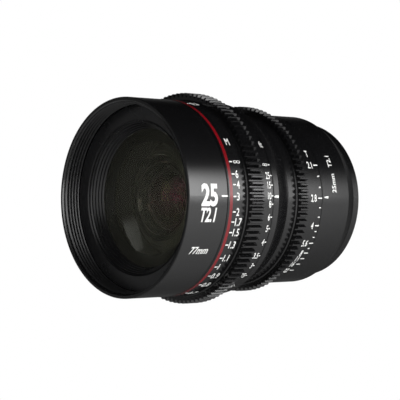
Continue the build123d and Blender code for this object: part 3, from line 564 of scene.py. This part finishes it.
def grow(name, mesh, tree, body, slot, **sizes):
    """Runs a geometry tree on a mesh and keeps the result as a plain mesh piece."""
    seed = bpy.data.objects.new(name, mesh)
    bpy.context.scene.collection.objects.link(seed)
    maker = seed.modifiers.new("maker", "NODES")
    maker.node_group = tree
    for item in tree.interface.items_tree:
        if item.in_out == "INPUT" and item.name in sizes:
            maker[item.identifier] = sizes[item.name]
    grown = bpy.data.meshes.new_from_object(seed.evaluated_get(
        bpy.context.evaluated_depsgraph_get()))
    seed.modifiers.clear()
    seed.data = grown
    seed.data.name = name
    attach(seed, body)
    print(name, len(grown.polygons), "faces on", body)


def tick_marks(name, body, radius, station, angles, length, width):
    """Enamel ticks of one size on a ring; station is where their rear ends lie."""
    mesh = bpy.data.meshes.new(name)
    low = radius - enamel_sink
    points = [(low * math.cos(a), station - length / 2, low * math.sin(a))
              for a in map(math.radians, angles)]
    mesh.from_pydata(points, [], [])
    grow(name, mesh, ticks, body, "black_anodised", Length=length, Width=width,
         Height=enamel_proud + enamel_sink, Enamel=white_enamel)


tick_marks("focus_ticks_metres", "focus_drive", focus_radius, red_rear + 1.9 * mm,
           [metre_infinity] + [angle for _, angle in metre_marks],
           length=1.6 * mm, width=0.5 * mm)
tick_marks("focus_ticks_feet", "focus_drive", focus_radius, focus_rear - 0.1 * mm,
           [foot_infinity] + [angle for _, angle in foot_marks],
           length=1.0 * mm, width=0.45 * mm)
tick_marks("iris_ticks", "iris_drive", iris_radius, iris_rear - 0.15 * mm,
           [angle for _, angle in stops], length=2.4 * mm, width=0.5 * mm)
tick_marks("iris_ticks_between", "iris_drive", iris_radius, iris_rear - 0.7 * mm, between,
           length=1.1 * mm, width=0.45 * mm)
tick_marks("front_index", "barrel", front_radius, front_end - 0.1 * mm, [0.0],
           length=3.2 * mm, width=0.65 * mm)

# %% [markdown]
# ## Wedge marks
# The housing and the rear barrel carry the index line on as two small wedges, pointed at the
# scale that they serve. The tick tree could taper its bar, but then every tick would carry an
# input that only these two need. A wedge is one outline, given as steps along the axis and
# round it, and bent onto its ring as the numerals are.

# %% Wedge marks


def plate(name, body, radius, outline):
    """An enamel plate on a ring, from points given along the axis and round the index line."""
    shape = bmesh.new()
    top = [shape.verts.new((along, around, enamel_proud)) for along, around in outline]
    base = [shape.verts.new((along, around, -enamel_sink)) for along, around in outline]
    shape.faces.new(top)
    shape.faces.new(base[::-1])
    for i in range(len(outline)):
        shape.faces.new((top[i - 1], base[i - 1], base[i], top[i]))
    on_ring(shape, radius, 0, 0, False)
    bmesh.ops.recalc_face_normals(shape, faces=shape.faces)
    mesh = bpy.data.meshes.new(name)
    shape.to_mesh(mesh)
    shape.free()
    mesh.materials.append(white_enamel)
    made = bpy.data.objects.new(name, mesh)
    bpy.context.scene.collection.objects.link(made)
    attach(made, body)
    print(name, "from", round(outline[0][0], 4), "to", round(outline[1][0], 4))


def wedge(name, radius, front, length, thin, thick):
    """A wedge on the index line, thin at the front and thick at the back."""
    plate(name, "barrel", radius, [(front, -thin / 2), (front + length, -thick / 2),
                                   (front + length, thick / 2), (front, thin / 2)])


wedge("housing_index", housing_radius, housing_front + 0.3 * mm,
      length=2.3 * mm, thin=0.7 * mm, thick=1.15 * mm)
wedge("rear_index", rear_radius, rear_front + 1.0 * mm,
      length=2.4 * mm, thin=0.5 * mm, thick=1.0 * mm)

# %% [markdown]
# ## Small turned trims
# A bar of tool steel with a shaped tip leaves these on a lathe: the thread in the filter rim,
# the ridges that stop stray light in the nose, the polished lip of the rim, the thin lip
# beside the red ring, and the tiny fillets where each gear meets its ring. A screw modifier
# could turn each of them, but all are one small profile carried round the axis, so one tree
# with named inputs makes them all, and the thread only climbs as it goes.

# %% The trim tree
round_steps = 240          # straight steps in one turn, fine enough to look round


def trim_tree():
    """Profiles, drawn as radius and station, carried round the Y axis, flat or climbing."""
    tree = bpy.data.node_groups.new("turned_trim", "GeometryNodeTree")
    face = tree.interface
    face.new_socket("Geometry", in_out="INPUT", socket_type="NodeSocketGeometry")
    for name in ("Radius", "Turns", "Climb"):
        face.new_socket(name, in_out="INPUT", socket_type="NodeSocketFloat")
    face.new_socket("Finish", in_out="INPUT", socket_type="NodeSocketMaterial")
    face.new_socket("Geometry", in_out="OUTPUT", socket_type="NodeSocketGeometry")
    given = add_node(tree, "NodeGroupInput").outputs
    way = add_node(tree, "GeometryNodeCurveSpiral",
                   {"Resolution": round_steps, "Rotations": given["Turns"],
                    "Start Radius": given["Radius"], "End Radius": given["Radius"],
                    "Height": given["Climb"]})
    level_way = add_node(tree, "GeometryNodeSetCurveNormal", {0: way.outputs[0]}, mode="Z_UP")
    outline = add_node(tree, "GeometryNodeMeshToCurve", {0: given["Geometry"]})
    middle = add_node(tree, "ShaderNodeCombineXYZ", {0: given["Radius"]})
    placed = add_node(tree, "GeometryNodeTransform",
                      {"Geometry": outline.outputs[0], "Translation": middle.outputs[0],
                       "Rotation": (0, 0, math.pi)})
    swept = add_node(tree, "GeometryNodeCurveToMesh",
                     {"Curve": level_way.outputs[0], "Profile Curve": placed.outputs[0],
                      "Fill Caps": True})
    closed = add_node(tree, "GeometryNodeMergeByDistance",
                      {0: swept.outputs[0], "Distance": merge_distance})
    crisp = add_node(tree, "GeometryNodeSetShadeSmooth", {"Geometry": closed.outputs[0],
                                                          "Shade Smooth": False})
    along = add_node(tree, "GeometryNodeTransform",
                     {"Geometry": crisp.outputs[0], "Rotation": (-math.pi / 2, 0, 0)})
    real = add_node(tree, "GeometryNodeRealizeInstances", {0: along.outputs[0]})
    painted = add_node(tree, "GeometryNodeSetMaterial", {"Geometry": real.outputs[0],
                                                         "Material": given["Finish"]})
    add_node(tree, "NodeGroupOutput", {0: painted.outputs[0]})
    return tree


trims = trim_tree()
print("trim tree:", len(trims.nodes), "nodes")

# %% A trim from its profile


def trim(name, body, slot, finish, profiles, turns=1.0, climb=0.0):
    """Turned trims from profiles, each a ring of (radius, station) points, anticlockwise."""
    points, edges = [], []
    for profile in profiles:
        first, count = len(points), len(profile)
        points += [(radius, station, 0) for radius, station in profile]
        edges += [(first + i, first + (i + 1) % count) for i in range(count)]
    mesh = bpy.data.meshes.new(name)
    mesh.from_pydata(points, edges, [])
    grow(name, mesh, trims, body, slot, Radius=profiles[0][0][0], Turns=turns, Climb=climb,
         Finish=finish)


# %% [markdown]
# ## Thread and ridges
# Filters screw into the thread. Its real pitch is 0.75 mm, finer than the picture can show, so
# it is drawn at twice that. The ridges step down from the mouth to the glass. A bump could fake
# both, but they lie close to the eye and break up the light there, so they are real shapes.

# %% Thread and ridges
thread_radius, thread_front, thread_rear = 38.1 * mm, front_rim + 0.8 * mm, front_rim + 8.6 * mm
thread_pitch, thread_depth, thread_half = 1.5 * mm, 0.66 * mm, 0.4 * mm
trim("filter_thread", "barrel", "matt_black", thread_black,
     [[(thread_radius, thread_front - thread_half), (thread_radius, thread_front + thread_half),
       (thread_radius - thread_depth, thread_front)]],
     (thread_rear - thread_front) / thread_pitch, thread_rear - thread_front)

nose_bore, nose_front = 30.8 * mm, front_rim + 7.9 * mm
step_height, step_length = 0.6 * mm, 1.12 * mm
bead_width, bead_height = 0.45 * mm, 0.35 * mm
ridge_depth, ridge_lengths = 0.5 * mm, (0.35 * mm, 0.6 * mm, 0.6 * mm, 0.6 * mm, 0.6 * mm)
ridges = [[(nose_bore + bead_width, nose_front - bead_height),
           (nose_bore + bead_width, nose_front), (nose_bore, nose_front)]]
for step, ridge_length in enumerate(ridge_lengths):
    bore, rear = nose_bore - step * step_height, nose_front + (step + 1) * step_length
    ridges.append([(bore, rear - ridge_length), (bore, rear), (bore - ridge_depth, rear)])
trim("nose_ridges", "barrel", "matt_black", baffle_black, ridges)

# %% [markdown]
# ## Lips and fillets
# The rim's inner edge is chamfered and shines. The red ring is held by a thin lip on its front
# side. Each gear's front meets its ring in a small round corner that the cutter leaves. A bevel
# on the CAD pieces would do this too, but they are a fixed frame, so the trims lie on them.

# %% Lips and fillets
lip_rim, lip_bore = 38.75 * mm, 38.2 * mm
lip_start, lip_top, lip_foot = (front_rim + depth * mm for depth in (0.05, 0.35, 0.6))
trim("rim_lip", "barrel", "black_anodised", edge_black,
     [[(lip_rim, lip_start), (lip_bore, lip_foot), (lip_bore, lip_top)]])

lip_width, lip_height = 0.45 * mm, 0.03 * mm
trim("accent_lip", "focus_drive", "black_anodised", black_anodised,
     [[(focus_radius - lip_height, red_front), (focus_radius + lip_height, red_front),
       (focus_radius + lip_height, red_front + lip_width),
       (focus_radius - lip_height, red_front + lip_width)]])

fillet = 0.36 * mm
for name, body, radius, front in (
        ("focus_gear_fillet", "focus_drive", focus_radius, focus_gear_front),
        ("iris_gear_fillet", "iris_drive", iris_radius, iris_gear_front)):
    trim(name, body, "black_anodised", black_anodised,
         [[(radius, front - fillet), (radius + fillet, front), (radius, front)]])

# %% [markdown]
# ## The studio
# The photograph has a white surround, a dark ceiling and one large soft lamp to the right of
# the lens. The ceiling shows as the black upper half of every barrel, and the lamp as the grey
# band along the index line. Walls and a ceiling could be built, but the world does it with a
# few nodes: it is white for the camera, and for reflections white low down and dark overhead.
# Matt surfaces get a plain grey, lighter from below. Heights are the sine of the elevation.

# %% World


def side_level(tree, place):
    """Brightness of the room that way: full towards +X, dim before, behind and at -X."""
    across = add_node(tree, "ShaderNodeMath", {0: place.outputs[1]}, operation="ABSOLUTE")
    turned_in = add_node(tree, "ShaderNodeMath", {0: across.outputs[0], 1: -0.45,
                                                  2: place.outputs[0]}, operation="MULTIPLY_ADD")
    level = add_node(tree, "ShaderNodeMapRange",
                     {"Value": turned_in.outputs[0], "From Min": -0.35, "From Max": 0.55,
                      "To Min": 0.15, "To Max": 1.2}, interpolation_type="SMOOTHSTEP")
    to_rear = add_node(tree, "ShaderNodeMath", {0: place.outputs[1], 1: -1.1,
                                                2: place.outputs[0]}, operation="MULTIPLY_ADD")
    kept = add_node(tree, "ShaderNodeMapRange",
                    {"Value": to_rear.outputs[0], "From Min": -0.25, "From Max": 0.05,
                     "To Min": 0.55, "To Max": 1.05}, interpolation_type="SMOOTHSTEP")
    return add_node(tree, "ShaderNodeMath", {0: level.outputs[0], 1: kept.outputs[0]},
                    operation="MULTIPLY").outputs[0]


world = bpy.data.worlds.new("studio")
bpy.context.scene.world = world
world.use_nodes = True
sky = world.node_tree
sky.nodes.clear()
path = add_node(sky, "ShaderNodeLightPath")
heading = add_node(sky, "ShaderNodeTexCoord").outputs["Generated"]
sides = add_node(sky, "ShaderNodeSeparateXYZ", {0: heading})
walls = add_node(sky, "ShaderNodeMapRange",
                 {"Value": sides.outputs[2], "From Min": 0.20, "From Max": 0.50,
                  "To Min": 1.0, "To Max": 0.04}, interpolation_type="SMOOTHSTEP")
surround = add_node(sky, "ShaderNodeMath", {0: walls.outputs[0], 1: side_level(sky, sides)},
                    operation="MULTIPLY")
overhead = add_node(sky, "ShaderNodeMapRange",
                    {"Value": sides.outputs[2], "From Min": -0.2, "From Max": 0.7,
                     "To Min": 0.65, "To Max": 0.2}, interpolation_type="SMOOTHSTEP")
plain = add_node(sky, "ShaderNodeMix", {0: path.outputs["Is Diffuse Ray"],
                                        2: surround.outputs[0], 3: overhead.outputs[0]},
                 data_type="FLOAT")
seen = add_node(sky, "ShaderNodeMix", {0: path.outputs["Is Camera Ray"],
                                       2: plain.outputs[0], 3: 1.0}, data_type="FLOAT")
light = add_node(sky, "ShaderNodeBackground", {"Color": (1, 1, 1, 1),
                                               "Strength": seen.outputs[0]})
add_node(sky, "ShaderNodeOutputWorld", {0: light.outputs[0]})
world.cycles.sampling_method = "NONE"    # it is even enough: samples go to the cards
print("world:", world.name)

# %% [markdown]
# ## The floor
# The lens floats over a sheet of white paper. The paper keeps the soft shadow under the lens.
# Further out it glows by itself, because a lamp that made it pure white would bleach the lens
# too. In reflections it is as bright as the room is on that side.

# %% Floor
floor_drop = 250 * mm
half = 15.0                    # half the floor's side, in metres
fibre_size = 25 * mm           # clouds in the paper
shadow_edge, open_edge = 0.30, 1.3

floor_mesh = bpy.data.meshes.new("floor")
floor_mesh.from_pydata([(-half, -half, -floor_drop), (half, -half, -floor_drop),
                        (half, half, -floor_drop), (-half, half, -floor_drop)], [],
                       [(0, 1, 2, 3)])
floor = bpy.data.objects.new("floor", floor_mesh)
bpy.context.scene.collection.objects.link(floor)
# Uncoated paper: flat white with the faintest clouds, and no shine.
paper, tree, out = new_finish("white_paper_floor")
fibre = add_node(tree, "ShaderNodeTexNoise", {"Scale": 1 / fibre_size})
shade = add_node(tree, "ShaderNodeMix", {0: fibre.outputs[0], 6: linear("#f4f4f4"),
                                         7: linear("#ffffff")}, data_type="RGBA")
matt = add_node(tree, "ShaderNodeBsdfDiffuse", {0: shade.outputs[2]})
path = add_node(tree, "ShaderNodeLightPath")
mirrored = add_node(tree, "ShaderNodeMath", {0: path.outputs["Is Glossy Ray"],
                                             1: path.outputs["Is Transmission Ray"]},
                    operation="MAXIMUM")
spot = add_node(tree, "ShaderNodeTexCoord").outputs["Object"]
away = add_node(tree, "ShaderNodeVectorMath", {0: spot}, operation="LENGTH")
clear_of_shadow = add_node(tree, "ShaderNodeMapRange",
                           {"Value": away.outputs["Value"], "From Min": shadow_edge,
                            "From Max": open_edge}, interpolation_type="SMOOTHSTEP")
parts = add_node(tree, "ShaderNodeSeparateXYZ", {0: spot})
level = add_node(tree, "ShaderNodeMix", {0: mirrored.outputs[0], 2: 1.0,
                                         3: side_level(tree, parts)}, data_type="FLOAT")
glow = add_node(tree, "ShaderNodeEmission", {0: (1, 1, 1, 1), 1: level.outputs[0]})
open_floor = add_node(tree, "ShaderNodeMath", {0: path.outputs["Is Camera Ray"],
                                               1: clear_of_shadow.outputs[0]},
                      operation="MULTIPLY")
part = add_node(tree, "ShaderNodeMath", {0: open_floor.outputs[0], 1: mirrored.outputs[0]},
                operation="MAXIMUM")
mixed = add_node(tree, "ShaderNodeMixShader", {0: part.outputs[0], 1: matt.outputs[0],
                                               2: glow.outputs[0]})
tree.links.new(mixed.outputs[0], out.inputs[0])
floor_mesh.materials.append(paper)
print("floor at", -floor_drop)

# %% [markdown]
# ## The softbox and two small cards
# A softbox is brightest in the middle and fades towards its edges. A plain area lamp can't
# fade, so this one is a card that glows: its strength falls off along its width and up its
# height, read from its own coordinates. The fade is what makes the grey band on the barrels
# run out softly towards the mount, and upwards. Two small cards of the same kind stand in
# front of the lens: a strip that picks out the filter thread, and a weak one, low on the other
# side, that shows as a pale patch in the first glass.

# %% Softbox and small cards
lens_centre = Vector((0, (cad_box[0].y + cad_box[1].y) / 2, 0))


def glow_card(name, heading, distance, across, upright, level, fade_across, fade_up):
    """A card that glows towards the lens and fades out to its two ends and to its top."""
    heading = math.radians(heading)
    mesh = bpy.data.meshes.new(name)
    mesh.from_pydata([(x, 0, z) for x, z in ((across[0], upright[0]), (across[1], upright[0]),
                                             (across[1], upright[1]), (across[0], upright[1]))],
                     [], [(3, 2, 1, 0)])
    card = bpy.data.objects.new(name, mesh)
    card.location = lens_centre + distance * Vector((math.cos(heading), math.sin(heading), 0))
    card.rotation_euler = (0, 0, heading + math.pi / 2)
    bpy.context.scene.collection.objects.link(card)
    silk, tree, out = new_finish(name + "_silk")
    place = add_node(tree, "ShaderNodeSeparateXYZ",
                     {0: add_node(tree, "ShaderNodeTexCoord").outputs["Object"]})
    to_end = add_node(tree, "ShaderNodeMath", {0: place.outputs[0]}, operation="ABSOLUTE")
    shares = [add_node(tree, "ShaderNodeMapRange",
                       {"Value": way, "From Min": fade[0], "From Max": fade[1],
                        "To Min": 1.0, "To Max": 0.0}, interpolation_type="SMOOTHSTEP")
              for way, fade in ((to_end.outputs[0], fade_across), (place.outputs[2], fade_up))]
    both = add_node(tree, "ShaderNodeMath", {0: shares[0].outputs[0], 1: shares[1].outputs[0]},
                    operation="MULTIPLY")
    strength = add_node(tree, "ShaderNodeMath", {0: both.outputs[0], 1: level},
                        operation="MULTIPLY")
    glow = add_node(tree, "ShaderNodeEmission", {0: (1, 1, 1, 1), 1: strength.outputs[0]})
    tree.links.new(glow.outputs[0], out.inputs[0])
    mesh.materials.append(silk)
    card.visible_camera = False
    print(name, "at", [round(v, 2) for v in card.location])


glow_card("softbox", heading=12, distance=1.15, across=(-0.80, 0.96), upright=(-0.035, 0.76),
          level=7.0, fade_across=(0.45, 0.94), fade_up=(0.27, 0.74))
glow_card("front_strip", heading=-80, distance=0.80, across=(-0.19, 0.19),
          upright=(-0.09, 0.56), level=2.4, fade_across=(0.06, 0.19), fade_up=(0.3, 0.55))
glow_card("low_fill", heading=-149, distance=0.80, across=(-0.14, 0.14),
          upright=(-0.26, -0.05), level=0.85, fade_across=(0.11, 0.14),
          fade_up=(-0.14, -0.05))

# %% [markdown]
# ## The camera
# The camera looks at the side of the lens from 47 degrees off its axis, level with it, from
# about 0.6 m. It could be placed by eye, but the numbers below were found by matching the
# outline of the lens in the photograph, so that every edge falls on its place. Its place and
# tilt are worked out as three directions, then turned as one about the lens axis, which lowers
# the camera a little without changing any outline.

# %% Camera
camera_azimuth = math.radians(47.44)
camera_roll = math.radians(0.47)
camera_distance = 593.1 * mm
camera_target = Vector((0, -61.80 * mm, -0.64 * mm))
camera_turn = Matrix.Rotation(math.radians(1.4), 4, "Y")
focal_pixels = 1427.1
picture_side = 400
sensor_side = 36.0

ahead = Vector((-math.sin(camera_azimuth), math.cos(camera_azimuth), 0))
right = Vector((math.cos(camera_azimuth), math.sin(camera_azimuth), 0))
up = right.cross(ahead)
tilted_right = math.cos(camera_roll) * right + math.sin(camera_roll) * up
tilted_up = math.cos(camera_roll) * up - math.sin(camera_roll) * right
stance = Matrix((tilted_right, tilted_up, -ahead)).transposed().to_4x4()
stance.translation = camera_target - camera_distance * ahead
view = bpy.data.cameras.new("camera")
view.sensor_width = sensor_side
view.lens = focal_pixels / picture_side * sensor_side
view.clip_start, view.clip_end = 0.01, 100
camera = bpy.data.objects.new("camera", view)
bpy.context.scene.collection.objects.link(camera)
camera.matrix_world = camera_turn @ stance
bpy.context.scene.camera = camera
bpy.context.scene.view_settings.view_transform = "Standard"
print("camera at", [round(v, 3) for v in camera.matrix_world.translation])
